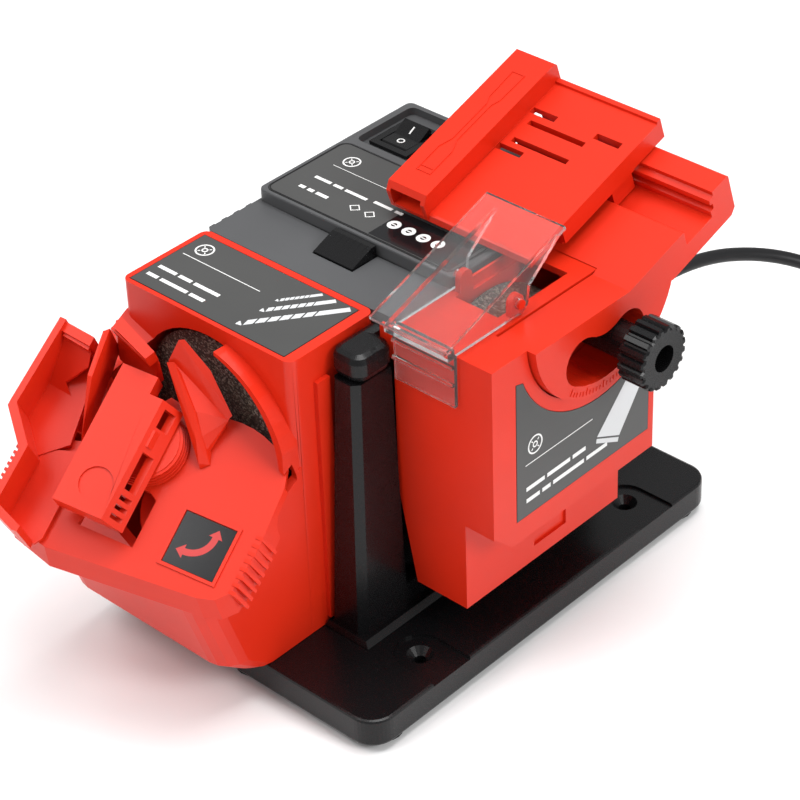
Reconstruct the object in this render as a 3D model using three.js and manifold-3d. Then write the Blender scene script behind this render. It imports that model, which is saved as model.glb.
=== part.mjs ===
// A bench sharpening machine: one motor drives a drill-bit disc at the front and a chisel wheel at the side.
// Millimetres, +Z up, +Y away from the operator. Solids are placed from a corner of the base's top face,
// and the whole group is then moved so that the origin is the bottom centre of the machine.
import * as THREE from "three";
import { ConvexGeometry } from "three/addons/geometries/ConvexGeometry.js";
import { mergeVertices } from "three/addons/utils/BufferGeometryUtils.js";
import Module from "manifold-3d";

const wasm = await Module();
wasm.setup();

// ---- Driving dimensions -------------------------------------------------------------------------
const ORIGIN = [-62.652, 71.689, -16]; // bottom centre of the machine, measured from the base corner
const GAP = 0.3; // between pieces that touch
const WALL = 3; // moulded housing wall

const BASE = { left: -152, right: 0, front: 0, back: 216, bottom: -13, corner: 11 };
const FEET = [[-8, 15], [-8, 201], [-76, 8], [-144, 15], [-144, 201]];
const BENCH_HOLES = [[-17.5, 46], [-17.5, 177], [-134.5, 46], [-134.5, 177]];

const BODY = { left: -152, right: -44.5, front: 71, back: 193.5, top: 125 };
const DECK_TOP = 135;
const PANEL_TOP = 140.8;
const PANEL_FRONT = 100.3;

const DRILL = { left: -152, right: -58.3, front: 23, back: 70.3, top: 135 };
const DISC = { x: -107, z: 91, r: 34 };
const RECESS = { x: -103, z: 86.5, r: 42.2 }; // round recess in front of the disc
const CHISEL = { left: -42.5, right: 7.7, front: 63.5, back: 162.5, top: 138.5 };
const WHEEL = { y: 112, r: 41, left: -37, right: -17 };
const MOTOR = { z: 51.6, r: 22.5 };

const PIVOT = { y: 126.8, z: 142, r: 42.6 }; // tilt bracket's axis, along X
const RAIL_TILT = 18; // degrees
const RAIL_ORIGIN = [11.4, 174.5, 148.7];
const GUARD_PIN = { y: 100, z: 144 };

const SWIVEL_ORIGIN = [-69, -20.7, 68.4];
const SWIVEL_TURN = 18.9; // degrees about the plate's own normal
const SWIVEL_LEAN = [34.6, -56.6]; // degrees: lean from vertical, and the compass way it leans
const SWIVEL_PIVOT = [-7, 15]; // on the plate

const CORD_RADIUS = 3.3;
const COIL = { x: 95, y: 325, inner: 30.4, outer: 43.6, height: 20 };

// ---- Materials ----------------------------------------------------------------------------------
const paint = (color, roughness, metalness = 0) =>
  new THREE.MeshStandardMaterial({ color, roughness, metalness });
const RED = paint(0xe8372a, 0.42);
const BLACK = paint(0x161617, 0.45);
const GREY = paint(0x5d5e61, 0.5);
const STICKER = paint(0x606164, 0.35);
const ABRASIVE = paint(0x4a3630, 0.95);
const STEEL = paint(0xb9bcc0, 0.3, 1);
const COPPER = paint(0xb4703c, 0.35, 1);
const RUBBER = paint(0x1b1b1c, 0.85);
const NYLON = paint(0xe4e0d4, 0.5);
const CLEAR = new THREE.MeshStandardMaterial({
  color: 0xf2f4f5, roughness: 0.08, metalness: 0, transparent: true, opacity: 0.3,
});

// ---- Solid helpers ------------------------------------------------------------------------------
function solid(geometry) {
  const bare = (geometry.index ? geometry.toNonIndexed() : geometry).clone();
  bare.deleteAttribute("normal");
  bare.deleteAttribute("uv");
  const merged = mergeVertices(bare, 1e-4);
  return new wasm.Manifold(new wasm.Mesh({
    numProp: 3,
    vertProperties: merged.attributes.position.array,
    triVerts: new Uint32Array(merged.index.array),
  }));
}

function block(low, high) {
  const size = high.map((value, axis) => value - low[axis]);
  const geometry = new THREE.BoxGeometry(...size);
  geometry.translate(...low.map((value, axis) => value + size[axis] / 2));
  return geometry;
}

const box = (low, high) => solid(block(low, high));

function roundedOutline(left, right, front, back, radius) {
  const shape = new THREE.Shape();
  shape.absarc(right - radius, front + radius, radius, -Math.PI / 2, 0);
  shape.absarc(right - radius, back - radius, radius, 0, Math.PI / 2);
  shape.absarc(left + radius, back - radius, radius, Math.PI / 2, Math.PI);
  shape.absarc(left + radius, front + radius, radius, Math.PI, Math.PI * 1.5);
  shape.closePath();
  return shape;
}

// A shape drawn in X and Y, pulled up from one height to another, with an optional bevelled rim.
function pulledUp(shape, low, high, bevel = 0, curveSegments = 5) {
  const geometry = new THREE.ExtrudeGeometry(shape, {
    depth: high - low - 2 * bevel,
    bevelEnabled: bevel > 0,
    bevelThickness: bevel,
    bevelSize: bevel,
    bevelOffset: -bevel,
    bevelSegments: 2,
    curveSegments,
  });
  geometry.translate(0, 0, low + bevel);
  return geometry;
}

function roundedBox(low, high, radius, bevel = 0, segments = 5) {
  const shape = roundedOutline(low[0], high[0], low[1], high[1], radius);
  return solid(pulledUp(shape, low[2], high[2], bevel, segments));
}

function outline(points) {
  return new THREE.Shape(points.map(([x, y]) => new THREE.Vector2(x, y)));
}

// An outline given as (y, z) pairs, pulled along X.
function alongX(points, left, right) {
  const geometry = new THREE.ExtrudeGeometry(outline(points), { depth: right - left, bevelEnabled: false });
  geometry.applyMatrix4(new THREE.Matrix4().makeBasis(
    new THREE.Vector3(0, 1, 0), new THREE.Vector3(0, 0, 1), new THREE.Vector3(1, 0, 0)));
  geometry.translate(left, 0, 0);
  return solid(geometry);
}

// An outline given as (x, z) pairs, pulled along Y.
function alongY(points, front, back) {
  const geometry = new THREE.ExtrudeGeometry(outline(points), { depth: back - front, bevelEnabled: false });
  geometry.rotateX(Math.PI / 2);
  geometry.translate(0, back, 0);
  return solid(geometry);
}

// A cylinder or cone between two points.
function rod(from, to, radius, segments = 24, endRadius = radius) {
  const start = new THREE.Vector3(...from);
  const way = new THREE.Vector3(...to).sub(start);
  const geometry = new THREE.CylinderGeometry(endRadius, radius, way.length(), segments);
  geometry.translate(0, way.length() / 2, 0);
  geometry.applyQuaternion(
    new THREE.Quaternion().setFromUnitVectors(new THREE.Vector3(0, 1, 0), way.normalize()));
  geometry.translate(...from);
  return solid(geometry);
}

const hull = (points) => solid(new ConvexGeometry(points.map((point) => new THREE.Vector3(...point))));

// The biggest of the pieces that a cut leaves.
const largest = (whole) =>
  whole.decompose().reduce((best, next) => (next.volume() > best.volume() ? next : best));

const joined = (...solids) => solids.reduce((sum, next) => sum.add(next));
const cut = (from, ...tools) => tools.reduce((rest, tool) => rest.subtract(tool), from);

function geometryOf(manifold) {
  const mesh = manifold.getMesh();
  const geometry = new THREE.BufferGeometry();
  geometry.setAttribute("position", new THREE.BufferAttribute(mesh.vertProperties, 3));
  geometry.setIndex(new THREE.BufferAttribute(mesh.triVerts, 1));
  return geometry;
}

// ---- Scene graph --------------------------------------------------------------------------------
const machine = new THREE.Group();
machine.position.set(...ORIGIN.map((value) => -value));

function place(name, shape, material, parent = machine) {
  const mesh = new THREE.Mesh(shape.isBufferGeometry ? shape : geometryOf(shape), material);
  mesh.name = name;
  parent.add(mesh);
  return mesh;
}

// ---- Base and feet ------------------------------------------------------------------------------
function basePlate() {
  const { left, right, front, back, bottom, corner } = BASE;
  const skin = 3.5;
  const inset = 4;
  let plate = roundedBox([left, front, bottom], [right, back, 0], corner, 1.2);
  plate = cut(plate, roundedBox([left + inset, front + inset, bottom - 1],
    [right - inset, back - inset, -skin],
    corner - inset, 0, 3));
  for (const [x, y] of FEET) plate = joined(plate, rod([x, y, bottom], [x, y, -2], 7.4, 16));
  for (const [x, y] of BENCH_HOLES) plate = joined(plate, rod([x, y, bottom + 1], [x, y, -2], 7.5, 16));
  for (const x of [-50, -100]) plate = joined(plate, box([x - 1, front + 2, -10], [x + 1, back - 2, -3]));
  const room = roundedBox([left - 5, front - 5, bottom - 5], [right + 5, back + 5, bottom], 5, 0, 2);
  plate = cut(plate, room);
  for (const [x, y] of BENCH_HOLES) {
    const side = x > -76 ? right + 1 : left - 1;
    const pocket = joined(
      rod([x, y, -1.2], [x, y, 2], 11, 24),
      box([Math.min(x, side), y - 11, -1.2], [Math.max(x, side), y + 11, 2]));
    const hole = rod([x, y, bottom - 1], [x, y, 1], 2.6, 16);
    const countersink = rod([x, y, -4.2], [x, y, -1], 2.6, 16, 5.8);
    plate = cut(plate, pocket, hole, countersink);
  }
  place("base_plate", plate, BLACK);
}

function feet() {
  FEET.forEach(([x, y], index) => {
    const profile = [[0, 0], [5.6, 0], [6.8, 1.2], [6.8, 3 - GAP], [0, 3 - GAP]];
    const foot = new THREE.LatheGeometry(profile.map(([r, z]) => new THREE.Vector2(r, z)), 16);
    foot.rotateX(Math.PI / 2);
    foot.translate(x, y, BASE.bottom - 3);
    place(`foot_${index + 1}`, foot, RUBBER);
  });
}

// ---- Main housing -------------------------------------------------------------------------------
function mainHousing() {
  const { left, right, front, back, top } = BODY;
  let shell = roundedBox([left, front, GAP], [right, back, top], 8, 0, 3);
  const bottomWide = [[-55.6, 36], [-54, 34.6], [-41, 34.6], [-38, 38], [-38, 61.5], [-55.6, 61.5]];
  const topNarrow = [[-54.8, 43], [-53, 41.4], [-45, 41.4], [-42.2, 44.5], [-42.2, 61.5], [-54.8, 61.5]];
  shell = joined(shell,
    hull([...bottomWide.map(([x, y]) => [x, y, GAP]), ...topNarrow.map(([x, y]) => [x, y, 121])]),
    hull([[-57.8, 33, GAP], [-34, 33, GAP], [-34, 78, GAP], [-57.8, 78, GAP],
      [-57, 34, 3], [-36, 34, 3], [-36, 77, 3], [-57, 77, 3]]),
    box([-55, 58, GAP], [-39, 78, 14]),
    box([-55, 55, GAP], [-46, 76, 121]));
  shell = cut(shell,
    roundedBox([left + WALL, front + WALL, GAP + WALL], [right - WALL, back - WALL, top + 1], 5, 0, 3),
    hull([[-53, 39, -1], [-41, 39, -1], [-41, 58, -1], [-53, 58, -1],
      [-52, 45, 114], [-46, 45, 114], [-46, 58, 114], [-52, 58, 114]]));
  shell = joined(shell, box([-150, 152, 2], [-64, 156, 26]), box([-150, 106, 2], [-64, 110, 26]));
  shell = cut(shell,
    rod([DISC.x, front - 1, DISC.z], [DISC.x, front + WALL + 1, DISC.z], 11.3, 24),
    rod([right - 5, WHEEL.y, DISC.z], [right + 2, WHEEL.y, DISC.z], 9, 20),
    rod([-76, back - 5, 42], [-76, back + 2, 42], 6, 20));
  for (let slot = 0; slot < 6; slot += 1) {
    const y = 84 + slot * 9;
    shell = cut(shell, box([left - 1, y, 96], [left + WALL + 1, y + 4, 116]));
    shell = cut(shell, box([-142 + slot * 9, back - 5, 92], [-138 + slot * 9, back + 1, 112]));
  }
  place("main_housing", shell, BLACK);

  const capLow = 121 + GAP;
  const capTop = 133;
  const cap = joined(
    roundedBox([-57.6, 42.6, capLow], [-40.8, 62.8, capTop], 5.5, 3.2, 4),
    roundedBox([-57.6, 52, capLow], [-50.2, 69.6, capTop], 3.3, 3.2, 3));
  place("tower_cap", cap, BLACK);
}

function upperShell() {
  const { left, right, front, back, top } = BODY;
  const low = top + GAP;
  let shell = joined(
    roundedBox([left, front - 0.4, low], [right + 0.8, back, DECK_TOP], 2.5, 0, 3),
    roundedBox([left, PANEL_FRONT, low + 1], [right + 0.8, back, PANEL_TOP], 3, 0.8, 3));
  shell = cut(shell,
    box([left + WALL, front + WALL, low - 1], [right - WALL, PANEL_FRONT + 4, DECK_TOP - WALL]),
    box([left + WALL, PANEL_FRONT + WALL, low - 1], [right - WALL, back - WALL, PANEL_TOP - 8]),
    roundedBox([left + 2, PANEL_FRONT + 1.5, PANEL_TOP - 0.6], [right - 2.4, 151, PANEL_TOP + 2], 4.4, 0,
      4),
    roundedBox([-148, 155, PANEL_TOP - 3.5], [-100, 190.5, PANEL_TOP + 2], 3, 0, 2),
    box([-144, 160.2, PANEL_TOP - 12], [-124, 182.8, PANEL_TOP]));
  for (let lug = 0; lug < 4; lug += 1) {
    const y = 74 + lug * 7;
    shell = joined(shell, box([left - 2.4, y, DECK_TOP - 6], [left + 1, y + 3, DECK_TOP - 1.6]));
  }
  shell = cut(shell, box([-106.4, 85, DECK_TOP - 9], [-84.2, PANEL_FRONT - 0.6, DECK_TOP + 1]));
  place("upper_shell", shell, GREY);
  place("control_label", roundedBox([left + 2.4, PANEL_FRONT + 1.9, PANEL_TOP - 0.6 + GAP],
    [right - 2.8, 150.6, PANEL_TOP + 0.1], 4, 0, 4), STICKER);
}

function releaseLatch(parent) {
  const wedge = [[85.4, DECK_TOP - 1.3], [86.4, DECK_TOP - 6], [98.4, DECK_TOP - 6], [99.3, DECK_TOP - 1.3],
    [99.3, PANEL_TOP - 0.6], [97, PANEL_TOP - 0.6], [85.4, DECK_TOP + 0.8]];
  let latch = alongX(wedge, -106, -84.6);
  for (let groove = 0; groove < 6; groove += 1) {
    const x = -103 + groove * 3.2;
    latch = cut(latch, alongX([[84, DECK_TOP + 0.4], [100, DECK_TOP + 6.2], [100, 150], [84, 150]], x,
      x + 0.9));
  }
  place("release_latch", latch, BLACK, parent);
}

function rockerSwitch(fixed, moving) {
  const z = PANEL_TOP - 3.5;
  const frame = cut(
    joined(box([-144.6, 159.6, z + GAP], [-123.4, 183.4, z + 1.8]),
      box([-143.4, 160.8, z - 16], [-124.6, 182.2, z + 1])),
    box([-141.4, 162.6, z - 9], [-126.6, 180.4, z + 4]));
  place("switch_frame", frame, BLACK, fixed);
  const rocker = alongX([[163.2, z + 0.6], [171.5, z - 4], [179.8, z + 3.4], [178.6, z + 5.6],
    [171.5, z + 1.6],
    [164, z + 1.8]], -141, -127);
  place("switch_rocker", rocker, BLACK, moving);
}

// ---- Motor and drive ----------------------------------------------------------------------------
function toothedWheel(radius, teeth, depth, phase) {
  const shape = new THREE.Shape();
  for (let tooth = 0; tooth < teeth; tooth += 1) {
    const step = (Math.PI * 2) / teeth;
    [[0.05, 0], [0.3, 1], [0.6, 1], [0.85, 0]].forEach(([share, high], corner) => {
      const angle = (tooth + share + phase) * step;
      const reach = radius - (1 - high) * depth;
      const point = [Math.cos(angle) * reach, Math.sin(angle) * reach];
      if (tooth === 0 && corner === 0) shape.moveTo(...point);
      else shape.lineTo(...point);
    });
  }
  shape.closePath();
  return shape;
}

// A toothed wheel whose axis is along Y, with a round bore.
function gearAlongY(x, z, low, high, radius, teeth, bore, phase) {
  const geometry = new THREE.ExtrudeGeometry(toothedWheel(radius, teeth, 1.6, phase),
    { depth: high - low, bevelEnabled: false });
  geometry.rotateX(Math.PI / 2);
  geometry.translate(x, high, z);
  return cut(solid(geometry), rod([x, low - 1, z], [x, high + 1, z], bore, 20));
}

function motor(fixed, rotor) {
  const x = DISC.x;
  const { z, r } = MOTOR;
  const can = cut(rod([x, 112, z], [x, 176, z], r, 28), rod([x, 114, z], [x, 177, z], r - 2, 28),
    rod([x, 110, z], [x, 116, z], 6.2, 20));
  place("motor_can", can, STEEL, fixed);
  place("motor_end_cap", cut(rod([x, 176 + GAP, z], [x, 182, z], r, 28),
    rod([x, 170, z], [x, 190, z], 5, 16)),
    NYLON, fixed);
  const shaft = joined(rod([x, 81, z], [x, 186, z], 2.5, 14), rod([x, 118, z], [x, 164, z], r - 4.4, 20));
  place("motor_armature", shaft, COPPER, rotor);
  place("motor_pinion", gearAlongY(x, z, 84, 95, 7.2, 11, 2.5 + GAP, 0.3), STEEL, rotor);
  let fan = cut(rod([x, 99, z], [x, 101, z], 19, 24), rod([x, 90, z], [x, 110, z], 2.5 + GAP, 14));
  for (let blade = 0; blade < 8; blade += 1) {
    const vane = box([-0.9, 5, 0], [0.9, 18.6, 6]).rotate([0, 0, blade * 45]).rotate([-90, 0, 0]);
    fan = joined(fan, vane.translate([x, 100.5, z]));
  }
  place("motor_fan", fan, NYLON, rotor);
}

function spindle(fixed, turning) {
  const { x, z, r } = DISC;
  place("spindle_shaft", joined(rod([x, 27, z], [x, 108, z], 4, 20), rod([x, 34, z], [x, 36, z], 9, 20)),
    STEEL, turning);
  place("spindle_gear", gearAlongY(x, z, 85, 94, 32.8, 52, 4 + GAP, 0.05), NYLON, turning);
  const disc = cut(rod([x, 26, z], [x, 33.7, z], r, 48), rod([x, 20, z], [x, 40, z], 4 + GAP, 20));
  place("drill_disc", disc, ABRASIVE, turning);
  place("disc_screw", joined(rod([x, 24.4, z], [x, 25.8, z], 6.5, 20),
    rod([x, 23.4, z], [x, 25, z], 3.4, 6)), STEEL, turning);
  place("bevel_gear_front", cut(rod([x, 99.6, z], [x, 106, z], 11.8, 24, 5.4),
    rod([x, 90, z], [x, 110, z], 4 + GAP, 20)),
    STEEL, turning);
  place("bearing_front", cut(rod([x, 71.5, z], [x, 78, z], 11, 24),
    rod([x, 70, z], [x, 80, z], 4.05, 20)), STEEL, fixed);
}

function crossShaft(fixed, turning) {
  const { x, z } = DISC;
  const { y, r, left, right } = WHEEL;
  place("cross_shaft", joined(rod([x + 8, y, z], [right + 1, y, z], 4, 20),
    rod([left - 2.4, y, z], [left - GAP, y, z], 9, 20)),
    STEEL, turning);
  place("bevel_gear_side", cut(rod([x + 6, y, z], [x + 12.4, y, z], 5.4, 24, 11.8),
    rod([x, y, z], [x + 20, y, z], 4 + GAP, 20)), STEEL, turning);
  place("chisel_wheel", cut(rod([left, y, z], [right, y, z], r, 48),
    rod([left - 1, y, z], [right + 1, y, z], 4 + GAP, 20)),
    ABRASIVE, turning);
  const bearingLeft = BODY.right - 9;
  place("bearing_side", joined(
    cut(rod([bearingLeft, y, z], [bearingLeft + 6, y, z], 11, 24),
      rod([bearingLeft - 1, y, z], [-40, y, z], 4.05, 20)),
    cut(box([bearingLeft, y - 13, GAP + WALL + GAP], [bearingLeft + 4, y + 13, z - 9]),
      rod([-60, y, z], [-40, y, z], 4.05, 20))),
    STEEL, fixed);
}

// ---- Drill-bit module ---------------------------------------------------------------------------
// The swivel plate's own frame: X and Y lie in the plate, Z is its normal.
function swivelFrame() {
  const [lean, compass] = SWIVEL_LEAN.map(THREE.MathUtils.degToRad);
  const up = new THREE.Vector3(Math.sin(lean) * Math.cos(compass), Math.sin(lean) * Math.sin(compass),
    Math.cos(lean));
  const level = new THREE.Vector3(0, 0, 1).cross(up).normalize();
  const turn = THREE.MathUtils.degToRad(SWIVEL_TURN);
  const across = level.clone().applyAxisAngle(up, -turn);
  const along = new THREE.Vector3().crossVectors(up, across);
  return new THREE.Matrix4().makeBasis(across, along, up).setPosition(...SWIVEL_ORIGIN);
}

const SWIVEL = swivelFrame();
const onSwivel = (point) => new THREE.Vector3(...point).applyMatrix4(SWIVEL).toArray();

function drillHousing() {
  const { left, right, front, back, top } = DRILL;
  // The chin under the swivel plate: its front leans out and its upright corners are well rounded.
  const chin = (inset, low) => {
    const points = [];
    for (const [y, z] of [[-33, 46], [-21, 9.6], [-12.6, 3], [-8, low]]) {
      for (const [x, turn] of [[right - inset, 1], [left + inset, -1]]) {
        for (let step = 0; step <= 4; step += 1) {
          const angle = (step / 4) * (Math.PI / 2);
          const radius = 11 - inset;
          points.push([x - turn * radius * (1 - Math.sin(angle)),
            y + inset + radius * (1 - Math.cos(angle)), z]);
        }
      }
    }
    for (const x of [right - inset, left + inset]) {
      points.push([x, front + WALL, low], [x, front + WALL, 120], [x, -19 + inset, 110]);
    }
    return hull(points);
  };
  const underPlate = (height) => box([-200, -200, -200], [200, 200, height]).transform(SWIVEL.elements);
  let housing = roundedBox([left, front, GAP], [right, back, top], 4, 0, 4);
  housing = joined(housing, box([right - 1, 35, 4], [right + 2.1, 42, 120.5]));
  housing = joined(housing, chin(0, GAP).intersect(underPlate(-5)));
  const room = joined(box([left + WALL, front + WALL, 4], [right - WALL, back + 1, top - WALL]),
    chin(WALL, 4).intersect(underPlate(-5 - WALL)));
  housing = cut(housing, room);
  const { x, z, r } = RECESS;
  const shroud = cut(rod([x + 1.4, 14, z - 1], [x + 1.4, 34, z - 1], r + 2.4, 48),
    rod([x, 10, z], [x, 40, z], r, 48));
  const recess = rod([x, front - 20, z], [x, front + WALL + 2, z], r, 48).intersect(joined(
    box([left, front - 30, 0], [right, front + 1.2, top]),
    box([left, front - 1, 0], [DISC.x + DISC.r + 3.5, front + WALL + 3, top])));
  housing = joined(
    cut(housing, recess),
    shroud.intersect(joined(box([left + 2, front + 1, 40], [right - 0.5, 34, top - 2]),
      box([x + 10, 16, 62], [right, 24, top]))));
  const [px, py] = SWIVEL_PIVOT;
  const bossTop = -3.6;
  housing = joined(housing, rod(onSwivel([px, py, bossTop]), onSwivel([px, py, -26]), 12, 24)
      .intersect(box([left, -60, 30], [right, front + 2, 120])));
  housing = cut(housing, rod(onSwivel([px, py, 0]), onSwivel([px, py, -30]), 6.5, 24),
    rod(onSwivel([px, py, -14]), onSwivel([px, py, -30]), 9, 24));
  const swept = cut(rod([px, py, -13], [px, py, 60], 84, 48), rod([px, py, -14], [px, py, -7.5], 25.5, 32),
    rod([px, py, -14], [px, py, -4], 13, 24),
    box([-200, 24, -50], [200, 200, 100]));
  const behind = cut(rod([px, py, -7.5], [px, py, 0.8], 38.5, 48),
    rod([px, py, -14], [px, py, -4], 13, 24));
  housing = cut(housing, joined(swept, behind).transform(SWIVEL.elements).intersect(box([left - 1, -90,
    20], [right + 1, front - 0.1, 134])));
  housing = joined(housing, rod([DISC.x, 60, DISC.z], [DISC.x, back, DISC.z], 16, 24),
    box([DISC.x - 30, 62, DISC.z - 8], [DISC.x - 10, 66, top - 1]),
    box([DISC.x + 10, 62, DISC.z - 8], [DISC.x + 30, 66, top - 1]));
  housing = cut(housing, rod([DISC.x, 50, DISC.z], [DISC.x, 80, DISC.z], 12.5, 24));
  housing = cut(housing, box([left + 2.4, front + 2.1, top - 0.6], [right - 5, back - 3.2, top + 1]));
  place("drill_housing", housing, RED);
  place("drill_label", box([left + 2.8, front + 2.5, top - GAP], [right - 5.4, back - 3.6, top + 0.1]),
    STICKER);
}

const swivelSolid = (manifold) => geometryOf(manifold).applyMatrix4(SWIVEL);

// A flat outline on the swivel plate, from one height to another.
const onPlate = (points, low, high) => {
  const geometry = new THREE.ExtrudeGeometry(outline(points), { depth: high - low, bevelEnabled: false });
  geometry.translate(0, 0, low);
  return solid(geometry);
};

function swivelPlate(parent) {
  const [px, py] = SWIVEL_PIVOT;
  const arc = [];
  for (let step = 0; step <= 8; step += 1) {
    const angle = THREE.MathUtils.degToRad(48 + step * 8.5);
    arc.push([px + 36.5 * Math.cos(angle), py + 36.5 * Math.sin(angle)]);
  }
  const rim = [[-74, -20], [-56, -24.5], [-10, -20.5], [8, -19], [15, -17], [19.5, -12], [21.5, 8],
    [20, 34], ...arc,
    [-38, 50], [-56, 22], [-80, 14]];
  const skirt = rim.map(([x, y]) => [x * 1.02 + 2, y * 1.06 - 0.5]);
  const rimTop = rim.map(([x, y]) => [x, y, 0]);
  const front = cut(
    hull([...rimTop.slice(0, 8), ...skirt.slice(0, 8).map(([x, y]) => [x + 1.5, y - 2.5, -9]),
      [-56, 22, 0], [-54, 20, -9]]),
    hull([...rim.slice(0, 8).map(([x, y]) => [x * 0.955, y * 0.9 + 1, -3]),
        ...skirt.slice(0, 8).map(([x, y]) => [x * 0.955 + 1, y * 0.9 - 1, -10]), [-58, 36, -3],
      [-56, 40, -10], [30, 60, -10], [24, 50, -3]]));
  let plate = joined(onPlate(rim, -3, 0), front);
  plate = cut(plate, onPlate([[-48, -11], [-24, -11], [-24, 9.5], [-28, 12], [-48, 12]], -4, 1),
    onPlate([[-11.2, -11.2], [11.2, -11.2], [11.2, 11.2], [-11.2, 11.2]], -0.6, 1));
  const labelRim = cut(onPlate([[-12.6, -12.6], [12.6, -12.6], [12.6, 12.6], [-12.6, 12.6]], -0.5, 0.7),
    onPlate([[-11.2, -11.2], [11.2, -11.2], [11.2, 11.2], [-11.2, 11.2]], -1, 2));
  plate = joined(plate, labelRim, rod([px, py, -2], [px, py, -14], 6.2, 24));
  for (let rib = 0; rib < 8; rib += 1) {
    const y = -12.5 + rib * 3.4;
    plate = joined(plate, hull([[18.6, y, 0.5], [18.6, y + 1.5, 0.5], [21.5, y, 0.2], [21.5, y + 1.5, 0.2],
      [26.3, y - 1, -8], [26.3, y + 0.5, -8], [19, y, -8], [19, y + 1.5, -8]]));
  }
  place("swivel_plate", swivelSolid(plate), RED, parent);
  place("swivel_label", swivelSolid(onPlate([[-10.9, -10.9], [10.9, -10.9], [10.9, 10.9], [-10.9, 10.9]],
    -GAP, 0.1)), BLACK, parent);
  const screw = joined(rod([px, py, -14 - GAP], [px, py, -16], 8, 20),
    rod([px, py, -15.5], [px, py, -18], 3.4, 6));
  place("swivel_screw", swivelSolid(screw), STEEL, parent);
}

function swivelFence(parent) {
  const post = ([x, y], low, high) => rod([x, y, low], [x, y, high], 1.3, 8);
  const path = [[-62, -26], [-75, -21], [-74.5, 4], [-87, 18], [-85, 56]];
  let fence = onPlate([[-85, 57], [-70.6, 55.4], [-70.6, 51.4], [-85, 53]], 0.3, 20);
  path.slice(1).forEach((point, index) => {
    const ends = [path[index], point].flatMap(([x, y]) => [[x - 1.3, y - 1.3], [x + 1.3, y - 1.3],
      [x + 1.3, y + 1.3],
      [x - 1.3, y + 1.3]]);
    fence = joined(fence, hull(ends.flatMap(([x, y]) => [[x, y, 0.3], [x, y, 22]])), post(point, 0.3, 22));
  });
  fence = joined(fence, onPlate([[-85, 55], [-70.6, 53], [-67.6, 34], [-65, 16], [-76, 6], [-86, 18]],
    0.3, 3),
    onPlate([[-60, -25.5], [-57.5, -22], [-57.5, 16], [-76, 10], [-75, -20]], 0.3, 2.4));
  const ramp = cut(
    hull([[-85, 54, 16], [-71, 52.4, 16], [-85, 52, 14], [-71, 50.4, 14], [-85, 34, 2], [-69, 32, 2],
      [-85, 37, 2], [-69, 35, 2]]),
    hull([[-70, 30, -2], [-70, 46, -2], [-78, 38, -2], [-70, 30, 20], [-70, 46, 20], [-78, 38, 20],
      [-60, 30, 20], [-60, 46, 20],
      [-60, 30, -2], [-60, 46, -2]]));
  fence = joined(fence, ramp);
  for (let rib = 0; rib < 7; rib += 1) {
    fence = joined(fence, onPlate([[-83, 51.6], [-70.8, 50], [-70.8, 52], [-83, 54]], 4 + rib * 2.3,
      5 + rib * 2.3));
  }
  for (let notch = 0; notch < 9; notch += 1) {
    const y = -17 + notch * 2.5;
    fence = joined(fence, onPlate([[-77.6, y], [-75, y], [-75, y + 1.2], [-77.6, y + 1.2]], 2, 21));
  }
  place("swivel_fence", swivelSolid(fence), RED, parent);
}

function drillJaws(parent) {
  const leftBlade = (shift, top) => hull([
    [-68 + shift, 60, 1], [-66 + shift, 65 - shift, top], [-64 + shift, 66.5 - shift, top],
    [-43, 57, top - 3], [-42, 54, 6],
    [-46, 50, 1], [-64 + shift, 56, 1]]);
  let left = joined(leftBlade(0, 20), hull([[-62, 18, 0.4], [-60, 18, 0.4], [-63, 40, 0.4],
    [-66, 60, 0.4], [-69, 58, 0.4],
    [-65, 40, 22], [-67, 58, 24], [-65, 60, 24], [-63, 40, 22], [-61, 22, 9]]));
  for (const [step, low] of [[0, 21], [1, 25]]) {
    left = joined(left, onPlate([[-66 + step * 2, 61], [-64 + step, 66], [-44, 58], [-46, 54]], low - 5,
      low));
  }
  place("jaw_left", swivelSolid(left), RED, parent);
  const fin = hull([[-14, 28, 0.4], [-11, 31, 0.4], [-17, 46, 0.4], [-33, 55, 0.4], [-35.5, 54, 0.4],
    [-14.5, 29, 3],
    [-36, 58, 22], [-39, 57, 21], [-22, 45, 14], [-18, 36, 9]]);
  const blade = hull([[-39, 58, 20], [-36, 65, 29], [-34, 66, 29], [-22, 61, 20], [-10, 51, 7],
    [-12, 48, 4], [-20, 48, 3],
    [-36, 57, 4]]);
  const web = hull([[-36, 58, 20], [-22, 45.5, 13], [-18, 36.5, 8], [-15, 31, 3], [-14, 31, 0.4],
    [-12, 48, 0.4], [-11, 49.5, 5],
    [-20, 50, 0.4], [-36, 57, 0.4], [-34, 62, 14]]);
  place("jaw_right", swivelSolid(joined(fin, blade, web)), RED, parent);
}

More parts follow.
